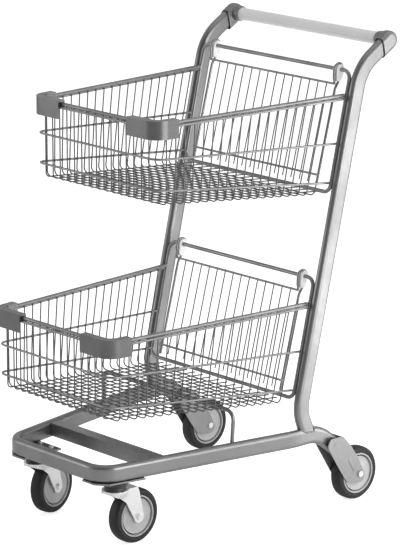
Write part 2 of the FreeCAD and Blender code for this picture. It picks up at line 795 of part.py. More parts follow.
def rear_fork():
    """Right rear fork: a stamped channel that hangs under the rail's tail."""
    outline = [(191.0, 153.0), (203.0, 164.0), (238.0, 160.0), (262.0, 134.0), (282.0, 107.0),
               (298.0, 79.0), (309.0, 58.0), (303.0, 45.0), (282.0, 42.0), (255.0, 50.0),
               (246.0, 57.0), (232.0, 78.0), (190.0, 144.0)]
    plates = fork_plates(outline, (REAR_WHEEL_Y, WHEEL_R))
    width = FORK_IN + FORK_T
    web = prism_yz([(238.0, 160.0), (262.0, 134.0), (259.9, 132.2), (237.0, 157.0)], -width, width)
    body = plates[0].fuse([plates[1], web]).removeSplitter()
    body.translate(V(SIDE_X, 0, 0))
    for hole in fork_bolt_shafts():
        body = body.cut(hole)
    return body


def tail_point(along, side):
    """Point measured along the rail's tail from its end, and square to it."""
    a = math.radians(TAIL_ANGLE)
    run = V(0, math.cos(a), -math.sin(a))
    rise = V(0, math.sin(a), math.cos(a))
    return V(SIDE_X, TAIL_START_Y, RAIL_Z) + run * (TAIL_LENGTH + along) + rise * side


def fork_bolt_shafts():
    """Shafts of the right rear fork's side bolt and of its top bolt."""
    reach = FORK_IN + FORK_T
    side = cylinder(AXLE_R, 2 * reach, tail_point(-14.0, 0.0) - ACROSS * reach, ACROSS)
    top = cylinder(AXLE_R, 10.0, V(SIDE_X, *WEB_BOLT) - WEB_OUT * 8.0, WEB_OUT)
    return [side, top]


def fork_bolts():
    """The side rivet with two flat heads, and the top bolt with a round head and nut."""
    reach = FORK_IN + FORK_T
    side, top = fork_bolt_shafts()
    at = tail_point(-14.0, 0.0)
    head = cylinder(RIVET_R, RIVET_H, at + ACROSS * reach, ACROSS)
    tail_head = cylinder(RIVET_R, RIVET_H, at - ACROSS * reach, -ACROSS)
    web_at = V(SIDE_X, *WEB_BOLT)
    button = cylinder(HEAD_R, HEAD_H, web_at + WEB_OUT * 1.0, WEB_OUT)
    under = cylinder(HEAD_R - 1.0, HEAD_H, web_at - WEB_OUT * 2.2, -WEB_OUT)
    return [side.fuse([head, tail_head]).removeSplitter(), top.fuse([button, under]).removeSplitter()]


def tail_blocks():
    """Two spacers that fill the gaps between the rail's tail and the right rear fork."""
    blocks = []
    corners = []
    for along, side in ((-26.0, -10.0), (-2.0, -10.0), (-2.0, 10.0), (-26.0, 10.0)):
        p = tail_point(along, side)
        corners.append((p.y, p.z))
    gap = FORK_IN - TUBE_SHORT / 2
    for x in (SIDE_X - FORK_IN, SIDE_X + TUBE_SHORT / 2):
        block = prism_yz(corners, x, x + gap)
        blocks.append(block.cut(fork_bolt_shafts()[0]))
    return blocks


def place(shape, x, y, z, yaw=0.0):
    """Copy of a shape turned about Z at the origin, then moved."""
    moved = shape.copy()
    if yaw:
        moved.rotate(V(0, 0, 0), UP, yaw)
    moved.translate(V(x, y, z))
    return moved


def export(name, shapes):
    """Write one node, centred on the cart's origin."""
    if not isinstance(shapes, list):
        shapes = [shapes]
    solids = []
    for shape in shapes:
        for solid in shape.Solids:
            moved = solid.copy()
            moved.translate(V(0, CENTRING_Y, 0))
            solids.append(moved)
    result = solids[0] if len(solids) == 1 else Part.makeCompound(solids)
    result.exportStep("parts/" + name + ".step")


def build_frame():
    """Base, uprights and handle."""
    export("base_frame", base_frame())
    export("cross_member", cross_member())
    right = upright()
    export("upright_right", right)
    export("upright_left", mirrored(right))
    export("handle_bar", handle_bar())
    export("handle_grip", handle_grip())
    moulding = elbow()
    export("elbow_right", moulding)
    export("elbow_left", mirrored(moulding))
    ring = seam_ring()
    export("seam_rings", [ring, mirrored(ring)])
    export("support_rod", support_rod())


def build_basket(name, basket):
    """One wire basket with its back loop and its gate."""
    export(name + "_loop", back_loop(basket))
    export(name + "_rim", rim(basket))
    export(name + "_edge_rod", edge_rod(basket))
    export(name + "_bands", bands(basket))
    export(name + "_side_wires", side_wires(basket))
    export(name + "_front_wires", front_wires(basket))
    export(name + "_floor_wires", cross_wires(basket) + long_wires(basket))
    corner = bumper(basket)
    export(name + "_bumper_right", corner)
    export(name + "_bumper_left", mirrored(corner))
    export(name + "_gate_frame", gate_frame(basket))
    export(name + "_gate_wires", gate_wires(basket))
    export(name + "_gate_bushes", gate_bushes(basket))


def build_front_casters():
    """Both swivelling casters; the left one stands slightly turned."""
    plate = caster_plate()
    export("caster_plates", [plate, mirrored(plate)])
    bolts = plate_bolts()
    export("plate_bolts", bolts + [mirrored(b) for b in bolts])
    pin = kingpin()
    export("kingpins", [place(pin, side * SWIVEL_X, SWIVEL_Y, 0) for side in (-1, 1)])
    for side, word, yaw in ((1, "right", 0.0), (-1, "left", LEFT_YAW)):
        x = side * SWIVEL_X
        export("caster_head_" + word, place(caster_head(), x, SWIVEL_Y, 0))
        export("fork_front_" + word, place(front_fork(), x, SWIVEL_Y, 0, yaw))
        for piece, shape in (("tyre", tyre()), ("hub", hub()), ("bushing", bushing()), ("axle", axle())):
            shape.translate(V(0, TRAIL, WHEEL_R))
            export(piece + "_front_" + word, place(shape, x, SWIVEL_Y, 0, yaw))


def build_rear_wheels():
    """Fixed forks and their wheels."""
    fork = rear_fork()
    export("fork_rear_right", fork)
    export("fork_rear_left", mirrored(fork))
    blocks = tail_blocks()
    export("tail_blocks", blocks + [mirrored(b) for b in blocks])
    bolts = fork_bolts()
    export("fork_bolts", bolts + [mirrored(b) for b in bolts])
    bolt = place(axle(), SIDE_X, REAR_WHEEL_Y, WHEEL_R)
    export("rear_axles", [bolt, mirrored(bolt)])
    for side, word in ((1, "right"), (-1, "left")):
        for piece, shape in (("tyre", tyre()), ("hub", hub()), ("bushing", bushing())):
            export(piece + "_rear_" + word, place(shape, side * SIDE_X, REAR_WHEEL_Y, WHEEL_R))


os.makedirs("parts", exist_ok=True)
build_frame()
build_basket("upper", UPPER)
build_basket("lower", LOWER)
build_front_casters()
build_rear_wheels()
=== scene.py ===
import bmesh
import bpy
import json
import math
from mathutils import Matrix, Vector


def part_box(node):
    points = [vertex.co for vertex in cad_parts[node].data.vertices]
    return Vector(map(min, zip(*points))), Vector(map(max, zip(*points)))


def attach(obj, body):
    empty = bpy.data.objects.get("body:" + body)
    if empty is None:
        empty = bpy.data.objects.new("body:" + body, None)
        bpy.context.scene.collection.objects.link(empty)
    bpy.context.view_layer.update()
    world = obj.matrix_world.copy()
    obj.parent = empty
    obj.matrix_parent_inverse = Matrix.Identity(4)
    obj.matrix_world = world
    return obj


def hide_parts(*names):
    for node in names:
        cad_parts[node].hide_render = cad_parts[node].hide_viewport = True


# A two-tier shopping cart. Metres, +Z up, nose towards -Y, push handle towards +Y.
# The sections follow the order in which the cart is put together: welded frame, baskets with their
# bumpers and gates, handle, wheels, front casters, rear forks. The studio and the camera come last.
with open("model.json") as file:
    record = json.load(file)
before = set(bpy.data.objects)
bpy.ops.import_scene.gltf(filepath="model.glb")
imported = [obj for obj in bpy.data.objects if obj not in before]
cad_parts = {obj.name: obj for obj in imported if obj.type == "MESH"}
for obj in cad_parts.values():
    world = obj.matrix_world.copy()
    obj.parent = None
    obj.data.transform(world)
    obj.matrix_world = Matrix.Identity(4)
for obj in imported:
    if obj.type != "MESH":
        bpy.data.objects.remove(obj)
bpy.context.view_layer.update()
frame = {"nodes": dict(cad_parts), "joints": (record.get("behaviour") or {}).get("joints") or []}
joints = {j["name"]: j for j in frame["joints"]}


# ---------------------------------------------------------------- welded frame
# Flat-sided oval steel tube, bent, welded and sprayed with a silver grey powder coat.
# The coat has a fine orange-peel skin, is a little cloudy, and is rubbed to bare metal on its edges.

def grey(level):
    """A neutral colour."""
    return (level, level, level)


def feed(tree, socket, given):
    """Sets a socket to a number or a colour, or links it to another socket."""
    if isinstance(given, bpy.types.NodeSocket):
        tree.links.new(given, socket)
    elif isinstance(given, tuple):
        socket.default_value = (*given, 1.0)
    else:
        socket.default_value = given


def value_input(tree, name, default, high=1000.0):
    """Adds a number socket, from 0 to high, to a shader group."""
    socket = tree.interface.new_socket(name=name, in_out="INPUT", socket_type="NodeSocketFloat")
    socket.default_value = default
    socket.min_value = 0.0
    socket.max_value = high


def colour_input(tree, name, default):
    """Adds a colour socket to a shader group."""
    socket = tree.interface.new_socket(name=name, in_out="INPUT", socket_type="NodeSocketColor")
    socket.default_value = (*default, 1.0)


def noise(tree, coordinates, scale, detail, roughness=0.5):
    """Noise on given coordinates."""
    node = tree.nodes.new("ShaderNodeTexNoise")
    tree.links.new(coordinates, node.inputs["Vector"])
    for name, given in (("Scale", scale), ("Detail", detail), ("Roughness", roughness)):
        feed(tree, node.inputs[name], given)
    return node.outputs["Fac"]


def ramp(tree, value, low, high, to_low=0.0, to_high=1.0):
    """Value mapped from one range to another, smoothly and clamped."""
    node = tree.nodes.new("ShaderNodeMapRange")
    node.interpolation_type = "SMOOTHSTEP"
    tree.links.new(value, node.inputs["Value"])
    for name, given in (("From Min", low), ("From Max", high), ("To Min", to_low), ("To Max", to_high)):
        feed(tree, node.inputs[name], given)
    return node.outputs["Result"]


def maths(tree, operation, a, b):
    """Math node with two inputs, each a number or a socket."""
    node = tree.nodes.new("ShaderNodeMath")
    node.operation = operation
    feed(tree, node.inputs[0], a)
    feed(tree, node.inputs[1], b)
    return node.outputs[0]


def blend_colours(tree, factor, a, b):
    """Colour a where the factor is 0, colour b where it is 1."""
    node = tree.nodes.new("ShaderNodeMix")
    node.data_type = "RGBA"
    tree.links.new(factor, node.inputs["Factor"])
    for name, colour in (("A", a), ("B", b)):
        socket = [s for s in node.inputs if s.name == name and s.type == "RGBA"][0]
        feed(tree, socket, colour)
    return [s for s in node.outputs if s.type == "RGBA"][0]


def cloudy_skin_group():
    """Shader group: cloudy colour, uneven gloss and a fine skin, for any sprayed or moulded surface."""
    tree = bpy.data.node_groups.new("cloudy_skin", "ShaderNodeTree")
    colour_input(tree, "Colour", grey(0.4))
    colour_input(tree, "Dull Colour", grey(0.3))
    value_input(tree, "Cloud Scale", 9.0)
    value_input(tree, "Skin Scale", 900.0, high=5000.0)
    value_input(tree, "Smooth", 0.3, high=1.0)
    value_input(tree, "Rough", 0.5, high=1.0)
    for name, kind in (("Colour", "Color"), ("Roughness", "Float"), ("Height", "Float")):
        tree.interface.new_socket(name=name, in_out="OUTPUT", socket_type="NodeSocket" + kind)
    given = tree.nodes.new("NodeGroupInput").outputs
    made = tree.nodes.new("NodeGroupOutput")
    place = tree.nodes.new("ShaderNodeTexCoord").outputs["Object"]
    cloud = noise(tree, place, given["Cloud Scale"], detail=5.0)
    skin = noise(tree, place, given["Skin Scale"], detail=2.0)
    grime = noise(tree, place, 60.0, detail=6.0, roughness=0.65)
    dull_clouds = ramp(tree, cloud, 0.35, 0.70, to_high=0.7)
    dull_specks = ramp(tree, grime, 0.50, 0.75, to_high=0.3)
    share = maths(tree, "ADD", dull_clouds, dull_specks)
    colour = blend_colours(tree, share, given["Colour"], given["Dull Colour"])
    unevenness = maths(tree, "ADD", cloud, maths(tree, "MULTIPLY", grime, 0.4))
    rough = ramp(tree, unevenness, 0.45, 0.95, given["Smooth"], given["Rough"])
    for name, result in (("Colour", colour), ("Roughness", rough), ("Height", skin)):
        tree.links.new(result, made.inputs[name])
    return tree


def rubbed_edge_group():
    """Shader group: a mask that is 1 on worn outside edges, broken up by noise."""
    tree = bpy.data.node_groups.new("rubbed_edge", "ShaderNodeTree")
    value_input(tree, "Width", 0.0012, high=0.05)
    value_input(tree, "Wear", 0.5, high=1.0)
    tree.interface.new_socket(name="Mask", in_out="OUTPUT", socket_type="NodeSocketFloat")
    given = tree.nodes.new("NodeGroupInput").outputs
    made = tree.nodes.new("NodeGroupOutput")
    rounded = tree.nodes.new("ShaderNodeBevel")
    rounded.samples = 4
    tree.links.new(given["Width"], rounded.inputs["Radius"])
    true_normal = tree.nodes.new("ShaderNodeNewGeometry").outputs["Normal"]
    likeness = tree.nodes.new("ShaderNodeVectorMath")
    likeness.operation = "DOT_PRODUCT"
    tree.links.new(rounded.outputs["Normal"], likeness.inputs[0])
    tree.links.new(true_normal, likeness.inputs[1])
    edge = ramp(tree, likeness.outputs["Value"], 0.985, 0.86)
    place = tree.nodes.new("ShaderNodeTexCoord").outputs["Object"]
    patches = ramp(tree, noise(tree, place, 140.0, detail=5.0, roughness=0.6), 0.42, 0.62)
    mask = maths(tree, "MULTIPLY", maths(tree, "MULTIPLY", edge, patches), given["Wear"])
    tree.links.new(mask, made.inputs["Mask"])
    return tree


def place_group(tree, group, **values):
    """Puts a shader group into a material and sets its inputs by name."""
    node = tree.nodes.new("ShaderNodeGroup")
    node.node_tree = group
    for name, given in values.items():
        feed(tree, node.inputs[name.replace("_", " ")], given)
    return node


CLOUDY = cloudy_skin_group()
RUBBED = rubbed_edge_group()


def finish(name, colour, dull, metal, smooth, rough, cloud_scale=9.0, skin_scale=900.0, bump=0.04,
           skin_depth=0.0004, wear=0.0, bare=(0.6, 0.6, 0.6), wear_width=0.0012, shine=0.5):
    """Material of a sprayed, plated or moulded surface; wear above 0 shows the bare colour on edges."""
    material = bpy.data.materials.new(name)
    material.use_nodes = True
    tree = material.node_tree
    shader = tree.nodes["Principled BSDF"]
    shader.inputs["Metallic"].default_value = metal
    shader.inputs["Specular IOR Level"].default_value = shine
    skin = place_group(tree, CLOUDY, Colour=colour, Dull_Colour=dull, Cloud_Scale=cloud_scale,
                       Skin_Scale=skin_scale, Smooth=smooth, Rough=rough)
    shown = skin.outputs["Colour"]
    if wear > 0.0:
        edge = place_group(tree, RUBBED, Width=wear_width, Wear=wear)
        shown = blend_colours(tree, edge.outputs["Mask"], shown, bare)
    tree.links.new(shown, shader.inputs["Base Color"])
    tree.links.new(skin.outputs["Roughness"], shader.inputs["Roughness"])
    relief = tree.nodes.new("ShaderNodeBump")
    relief.inputs["Strength"].default_value = bump
    relief.inputs["Distance"].default_value = skin_depth
    tree.links.new(skin.outputs["Height"], relief.inputs["Height"])
    tree.links.new(relief.outputs["Normal"], shader.inputs["Normal"])
    return material


def dress(material, *nodes):
    """Gives CAD nodes their finished material."""
    for name in nodes:
        for slot in frame["nodes"][name].material_slots:
            slot.material = material


TUBE_COAT = finish("silver_powder_coat", grey(0.26), grey(0.21), metal=0.8, smooth=0.30, rough=0.42,
                   wear=0.55, bare=(0.62, 0.62, 0.61))
dress(TUBE_COAT, "base_frame", "cross_member", "upright_left", "upright_right", "support_rod",
      "handle_bar")

CREASE = 38.0


def add_piece(made, name, material, body, nodes, crease=CREASE):
    """Turns a finished bmesh into a piece that rides on a body and stands for its CAD nodes."""
    mesh = bpy.data.meshes.new(name)
    made.normal_update()
    made.to_mesh(mesh)
    made.free()
    mesh.shade_smooth()
    mesh.set_sharp_from_angle(angle=math.radians(crease))
    mesh.materials.append(material)
    piece = bpy.data.objects.new(name, mesh)
    bpy.context.scene.collection.objects.link(piece)
    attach(piece, body)
    if nodes:
        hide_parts(*nodes)
    return piece


# Weld beads: ridges of weld metal under the same coat, where the uprights stand on the rails and
# where the cross member meets them. Each is laid as overlapping drops, whose size wavers by two sines.
SIDES = ((1, "right"), (-1, "left"))
BEAD_R = 0.0019
BEAD_STEP = 0.0026
BEAD_WAVES = ((0.16, 2.3), (0.08, 5.1))


def bead(points):
    """Bmesh of a closed weld bead that runs through points."""
    made = bmesh.new()
    count = 0
    for a, b in zip(points, points[1:] + points[:1]):
        steps = max(1, round((b - a).length / BEAD_STEP))
        for k in range(steps):
            size = BEAD_R * (1.0 + sum(depth * math.sin(rate * count) for depth, rate in BEAD_WAVES))
            place = Matrix.Translation(a.lerp(b, k / steps)) @ Matrix.Scale(size, 4)
            bmesh.ops.create_icosphere(made, subdivisions=2, radius=1.0, matrix=place)
            count += 1
    return made


# The foot's outline is two half circles with a short straight between them. The bead lies just
# outside it, and moves back as it goes down the rounded top of the rail.
FOOT_CENTRE_Y = 0.1331
FOOT_STRAIGHT = 0.0112
FOOT_POINTS = 48
FOOT_OUTSIDE = 1.02
FOOT_LEAN = 0.55


def upright_foot_bead(side):
    """Bead round the foot of one upright, where it sits on the rail's rounded top."""
    low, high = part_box("upright_right")
    centre_x = (low.x + high.x) / 2
    foot_r = (high.x - low.x) / 2
    rail_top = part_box("base_frame")[1].z
    ring = []
    for k in range(FOOT_POINTS):
        turn = 2 * math.pi * k / FOOT_POINTS
        dx = foot_r * math.cos(turn)
        dy = foot_r * math.sin(turn) + math.copysign(FOOT_STRAIGHT, math.sin(turn))
        drop = foot_r - math.sqrt(max(0.0, foot_r * foot_r - dx * dx))
        ring.append(Vector((side * (centre_x + dx * FOOT_OUTSIDE), FOOT_CENTRE_Y + dy + FOOT_LEAN * drop,
                            rail_top - drop)))
    return bead(ring)


for side, hand in SIDES:
    add_piece(upright_foot_bead(side), "weld_foot_" + hand, TUBE_COAT, "frame", ())

# The rails splay, so the bead's front corners lie further in than its back ones.
CROSS_BACK_OUT = 0.0002
CROSS_FRONT_IN = 0.0052
CROSS_CORNER = 0.001
cross_low, cross_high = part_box("cross_member")
for side, hand in SIDES:
    back_x = side * (cross_high.x + CROSS_BACK_OUT)
    front_x = side * (cross_high.x - CROSS_FRONT_IN)
    bottom = cross_low.z + CROSS_CORNER
    top = cross_high.z - CROSS_CORNER
    line = [Vector((front_x, cross_low.y, bottom)), Vector((front_x, cross_low.y, top)),
            Vector((back_x, cross_high.y, top)), Vector((back_x, cross_high.y, bottom))]
    add_piece(bead(line), "weld_cross_" + hand, TUBE_COAT, "frame", ())


# ---------------------------------------------------------------- baskets
# Drawn steel wire, spot welded and powder coated grey: rims and back loops of heavy rod, two bands
# round each wall, and thin wires that fan out towards the back. The thin wires are darker.
BASKETS = ("upper", "lower")
WIRE_COAT = finish("grey_wire_coat", grey(0.28), grey(0.21), metal=0.7, smooth=0.30, rough=0.46,
                   cloud_scale=14.0, skin_scale=1400.0, bump=0.05)
THIN_WIRE_COAT = finish("thin_wire_coat", grey(0.13), grey(0.09), metal=0.6, smooth=0.32, rough=0.48,
                        cloud_scale=14.0, skin_scale=1400.0, bump=0.05)
for basket in BASKETS:
    for part in ("loop", "rim", "edge_rod", "bands", "gate_frame"):
        dress(WIRE_COAT, basket + "_" + part)
    for part in ("side_wires", "front_wires", "floor_wires", "gate_wires"):
        dress(THIN_WIRE_COAT, basket + "_" + part)


# Corner bumpers: injection moulded caps clipped over the rim at the two front corners. A tall outer
# wall, a flat top and a short inner lip, all with rounded edges, and open underneath and at the ends.
BUMPER_PLASTIC = finish("bumper_plastic", grey(0.165), grey(0.14), metal=0.75, smooth=0.26, rough=0.36,
                        cloud_scale=18.0, skin_scale=1800.0, bump=0.02, wear=0.25, bare=grey(0.30),
                        wear_width=0.002)
BUMPER_ROUND = 0.0014
CAD_MERGE = 1e-5
FLAT_ANGLE = math.radians(1.0)
HARD_ANGLE = math.radians(35.0)


def merged_copy(node):
    """Bmesh of a CAD node with its loose triangles joined and its flat faces made whole."""
    made = bmesh.new()
    made.from_mesh(frame["nodes"][node].data)
    bmesh.ops.remove_doubles(made, verts=made.verts, dist=CAD_MERGE)
    bmesh.ops.dissolve_limit(made, angle_limit=FLAT_ANGLE, verts=made.verts, edges=made.edges)
    return made


def round_off(made, geom, size, segments, affect="EDGES"):
    """Rounds edges or, in a flat outline, corners."""
    bmesh.ops.bevel(made, geom=geom, offset=size, offset_type="OFFSET", affect=affect, segments=segments,
                    profile=0.5, material=-1, clamp_overlap=True)


def softened_copy(node, size, segments):
    """Bmesh of a CAD node with all its hard edges rounded."""
    made = merged_copy(node)
    hard = [e for e in made.edges if e.is_manifold and e.calc_face_angle(0.0) > HARD_ANGLE]
    round_off(made, hard, size, segments)
    return made


def even_shading(piece):
    """Keeps broad faces flat next to their rounded edges."""
    weight = piece.modifiers.new("even_shading", "WEIGHTED_NORMAL")
    weight.keep_sharp = True


for basket in BASKETS:
    for _, hand in SIDES:
        node = basket + "_bumper_" + hand
        even_shading(add_piece(softened_copy(node, BUMPER_ROUND, 3), node + "_cap", BUMPER_PLASTIC, "frame",
                               (node,)))


# Hinge bushes: pale nylon rollers that the gate's side rods hook over, on the back loop's top rod.
BUSH_NYLON = finish("bush_nylon", (0.86, 0.86, 0.85), (0.78, 0.78, 0.77), metal=0.0, smooth=0.34, rough=0.5,
                    cloud_scale=30.0, skin_scale=1500.0, bump=0.05)
BUSH_ROUND = 0.0008
for basket in BASKETS:
    node = basket + "_gate_bushes"
    even_shading(add_piece(softened_copy(node, BUSH_ROUND, 3), basket + "_bush_rollers", BUSH_NYLON,
                           basket + "_gate", (node,)))


# ---------------------------------------------------------------- handle
# Steel tube inside a pale plastic sleeve, held by two moulded corner pieces that cap the uprights.
# The sleeve has a plain band at each end and is a little thinner between them.
GRIP_PLASTIC = finish("grip_plastic", (0.94, 0.94, 0.935), (0.89, 0.89, 0.885), metal=0.0, smooth=0.32,
                      rough=0.48, cloud_scale=12.0, skin_scale=1200.0, bump=0.06)
GRIP_WALL = 0.004
GRIP_BAND = 0.010
GRIP_STEP = 0.002
GRIP_WAIST = 0.0006
GRIP_ROUND = 0.0005
SPIN_MERGE = 1e-6


def spun(profile, segments, rounding=0.0, rounds=3):
    """Bmesh of a closed turning about X from (x, radius) corners, with the profile's corners rounded."""
    made = bmesh.new()
    ring = [made.verts.new((x, 0.0, r)) for x, r in profile]
    for pair in zip(ring, ring[1:] + ring[:1]):
        made.edges.new(pair)
    if rounding > 0.0:
        round_off(made, ring, rounding, rounds, affect="VERTICES")
    bmesh.ops.spin(made, geom=made.verts[:] + made.edges[:], cent=(0, 0, 0), axis=(1, 0, 0), dvec=(0, 0, 0),
                   angle=2 * math.pi, steps=segments, use_merge=True, use_duplicate=False)
    bmesh.ops.remove_doubles(made, verts=made.verts, dist=SPIN_MERGE)
    bmesh.ops.recalc_face_normals(made, faces=made.faces)
    return made


grip_low, grip_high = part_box("handle_grip")
grip_centre = (grip_low + grip_high) / 2
grip_half = (grip_high.x - grip_low.x) / 2
grip_r = (grip_high.z - grip_low.z) / 2
bar_r = grip_r - GRIP_WALL
band_end = grip_half - GRIP_BAND
waist_end = band_end - GRIP_STEP
waist_r = grip_r - GRIP_WAIST
grip = spun([(-grip_half, bar_r), (grip_half, bar_r), (grip_half, grip_r), (band_end, grip_r),
             (waist_end, waist_r), (-waist_end, waist_r), (-band_end, grip_r), (-grip_half, grip_r)],
            64, GRIP_ROUND, 2)
bmesh.ops.translate(grip, verts=grip.verts, vec=grip_centre)
add_piece(grip, "grip_sleeve", GRIP_PLASTIC, "frame", ("handle_grip",))

# The corner piece: a thick D that leans with the upright's neck, ends below in a slanted seam and is
# rounded most on its outer side. A collar runs out over the end of the sleeve, and the two are melted
# into one skin with filleted creases.
ELBOW_PLASTIC = finish("elbow_plastic", grey(0.24), grey(0.19), metal=0.45, smooth=0.26, rough=0.40,
                       cloud_scale=20.0, skin_scale=1500.0, bump=0.07, wear=0.3, bare=grey(0.45))
ELBOW_R = 0.0218
ELBOW_WIDTH = 0.0252
ELBOW_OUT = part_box("upright_right")[1].x + 0.0026
ELBOW_IN = ELBOW_OUT - ELBOW_WIDTH
OUTER_ROUND = 0.0105
INNER_ROUND = 0.0040
ROUND_SEGMENTS = 6
SOCKET_LENGTH = 0.0288
NECK = math.radians(31.0)
SEAM_SLANT = math.tan(math.radians(19.0))
COLLAR_ROOT = 0.004
COLLAR_CORE_R = 0.004
COLLAR_BASE_R = ELBOW_R - 0.003
COLLAR_REACH = 0.0185
COLLAR_SHOULDER = 0.6 * COLLAR_REACH
SHOULDER_WALL = 0.0035
LIP_WALL = 0.0018
SKIN_VOXEL = 0.0008
TOUCHING = 1e-5


def seam_y(z):
    """Where the seam lies along the neck at a height across it."""
    return SEAM_SLANT * z - SOCKET_LENGTH


def push_out(made, way):
    """Makes a flat face into a closed solid."""
    grown = bmesh.ops.extrude_face_region(made, geom=made.faces[:])
    moved = [g for g in grown["geom"] if isinstance(g, bmesh.types.BMVert)]
    bmesh.ops.translate(made, verts=moved, vec=way)
    bmesh.ops.recalc_face_normals(made, faces=made.faces)


def neck_place(x):
    """Matrix that moves a shape from the origin onto the handle's axis and leans it with the neck."""
    return Matrix.Translation((x, grip_centre.y, grip_centre.z)) @ Matrix.Rotation(NECK, 4, "X")


def corner_moulding(side):
    """Bmesh of one corner piece, made at the right-hand end and mirrored for the left."""
    made = bmesh.new()
    bmesh.ops.create_circle(made, cap_ends=True, segments=64, radius=ELBOW_R,
                            matrix=Matrix.Rotation(math.pi / 2, 4, "Y"))
    for corner in made.verts:
        if corner.co.y < -SPIN_MERGE:
            corner.co.y = seam_y(corner.co.z)
    bmesh.ops.dissolve_limit(made, angle_limit=FLAT_ANGLE, verts=made.verts, edges=made.edges)
    push_out(made, (ELBOW_WIDTH, 0, 0))
    for x, size in ((ELBOW_WIDTH, OUTER_ROUND), (0.0, INNER_ROUND)):
        rim = [e for e in made.edges if all(abs(v.co.x - x) < TOUCHING for v in e.verts)
               and any(v.co.y > seam_y(v.co.z) + 10 * TOUCHING for v in e.verts)]
        round_off(made, rim, size, ROUND_SEGMENTS)
    bmesh.ops.transform(made, matrix=neck_place(ELBOW_IN), verts=made.verts)
    collar = spun([(ELBOW_IN + COLLAR_ROOT, COLLAR_CORE_R), (ELBOW_IN + COLLAR_ROOT, COLLAR_BASE_R),
                   (ELBOW_IN - COLLAR_SHOULDER, grip_r + SHOULDER_WALL),
                   (ELBOW_IN - COLLAR_REACH, grip_r + LIP_WALL),
                   (ELBOW_IN - COLLAR_REACH, COLLAR_CORE_R)], 48)
    bmesh.ops.translate(collar, verts=collar.verts, vec=(0, grip_centre.y, grip_centre.z))
    collar_mesh = bpy.data.meshes.new("collar")
    collar.to_mesh(collar_mesh)
    collar.free()
    made.from_mesh(collar_mesh)
    bpy.data.meshes.remove(collar_mesh)
    if side < 0:
        bmesh.ops.scale(made, vec=(-1, 1, 1), verts=made.verts)
        bmesh.ops.reverse_faces(made, faces=made.faces)
    return made


# Gaskets: a thin black rubber slab fills the seam between each corner piece and its upright.
GASKET = finish("gasket_rubber", (0.018, 0.018, 0.019), (0.03, 0.03, 0.031), metal=0.0, smooth=0.55,
                rough=0.75, skin_scale=1500.0, bump=0.08)
SEAM_THICK = 0.0016
SEAM_INSET = 0.0004


def seam_gaskets():
    """Bmesh of both gaskets, with the corner pieces' rounded outline."""
    made = bmesh.new()
    high = ELBOW_R - SEAM_INSET
    near = ELBOW_IN + SEAM_INSET
    far = ELBOW_OUT - SEAM_INSET
    outline = ((near, 0, -high), (far, 0, -high), (far, 0, high), (near, 0, high))
    corners = [made.verts.new(place) for place in outline]
    made.faces.new(corners)
    round_off(made, corners[1:3], OUTER_ROUND, ROUND_SEGMENTS, affect="VERTICES")
    round_off(made, [corners[0], corners[3]], INNER_ROUND, ROUND_SEGMENTS, affect="VERTICES")
    push_out(made, (0, -SEAM_THICK, 0))
    for corner in made.verts:
        corner.co.y += seam_y(corner.co.z)
    bmesh.ops.transform(made, matrix=neck_place(0.0), verts=made.verts)
    bmesh.ops.mirror(made, geom=made.verts[:] + made.edges[:] + made.faces[:], matrix=Matrix.Identity(4),
                     merge_dist=-1.0, axis="X")
    bmesh.ops.recalc_face_normals(made, faces=made.faces)
    return made


add_piece(seam_gaskets(), "seam_gaskets", GASKET, "frame", ("seam_rings",))

for side, hand in SIDES:
    piece = add_piece(corner_moulding(side), "corner_moulding_" + hand, ELBOW_PLASTIC, "frame",
                      ("elbow_" + hand,))
    melt = piece.modifiers.new("one_skin", "REMESH")
    melt.mode = "VOXEL"
    melt.voxel_size = SKIN_VOXEL
    melt.use_smooth_shade = True
    fillet = piece.modifiers.new("fillets", "SMOOTH")
    fillet.factor = 0.6
    fillet.iterations = 18


# ---------------------------------------------------------------- wheels
# All four wheels are alike: a dark rubber tyre with round shoulders and a fine groove near the foot of each
# wall, on a moulded grey centre that has a raised lip, a groove inside it whose near-black colour is painted
# shade, and a shallow dish.
TYRE_RUBBER = finish("tyre_rubber", grey(0.012), grey(0.024), metal=0.0, smooth=0.42, rough=0.7, shine=0.35,
                     cloud_scale=25.0, skin_scale=1300.0, bump=0.25, skin_depth=0.0005, wear=0.4,
                     bare=(0.10, 0.10, 0.098), wear_width=0.002)
HUB_PLASTIC = finish("hub_plastic", grey(0.41), grey(0.35), metal=0.0, smooth=0.36, rough=0.55,
                     cloud_scale=35.0, skin_scale=1600.0, bump=0.10)
# Painted shade: the hub's deep groove is coloured near black, as if no light reached into it.
GROOVE_PAINTED_SHADE = finish("groove_painted_shade", (0.05, 0.05, 0.052), (0.035, 0.035, 0.036), metal=0.0, smooth=0.5,
                        rough=0.7)
BUSHING_PLASTIC = finish("bushing_plastic", (0.09, 0.09, 0.092), (0.07, 0.07, 0.072), metal=0.0, smooth=0.4,
                         rough=0.6)

tyre_low, tyre_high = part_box("tyre_front_right")
WHEEL_R = (tyre_high.z - tyre_low.z) / 2
TYRE_HALF = (tyre_high.x - tyre_low.x) / 2
SEAT_R = WHEEL_R - 0.0150
SEAT_X = TYRE_HALF - 0.0022
WHEEL_SEGMENTS = 96
TYRE_ROUND = 0.0006


def mirrored_profile(half):
    """Closed profile from its right half, listed from the axle outwards."""
    return half + [(-x, r) for x, r in reversed(half)]


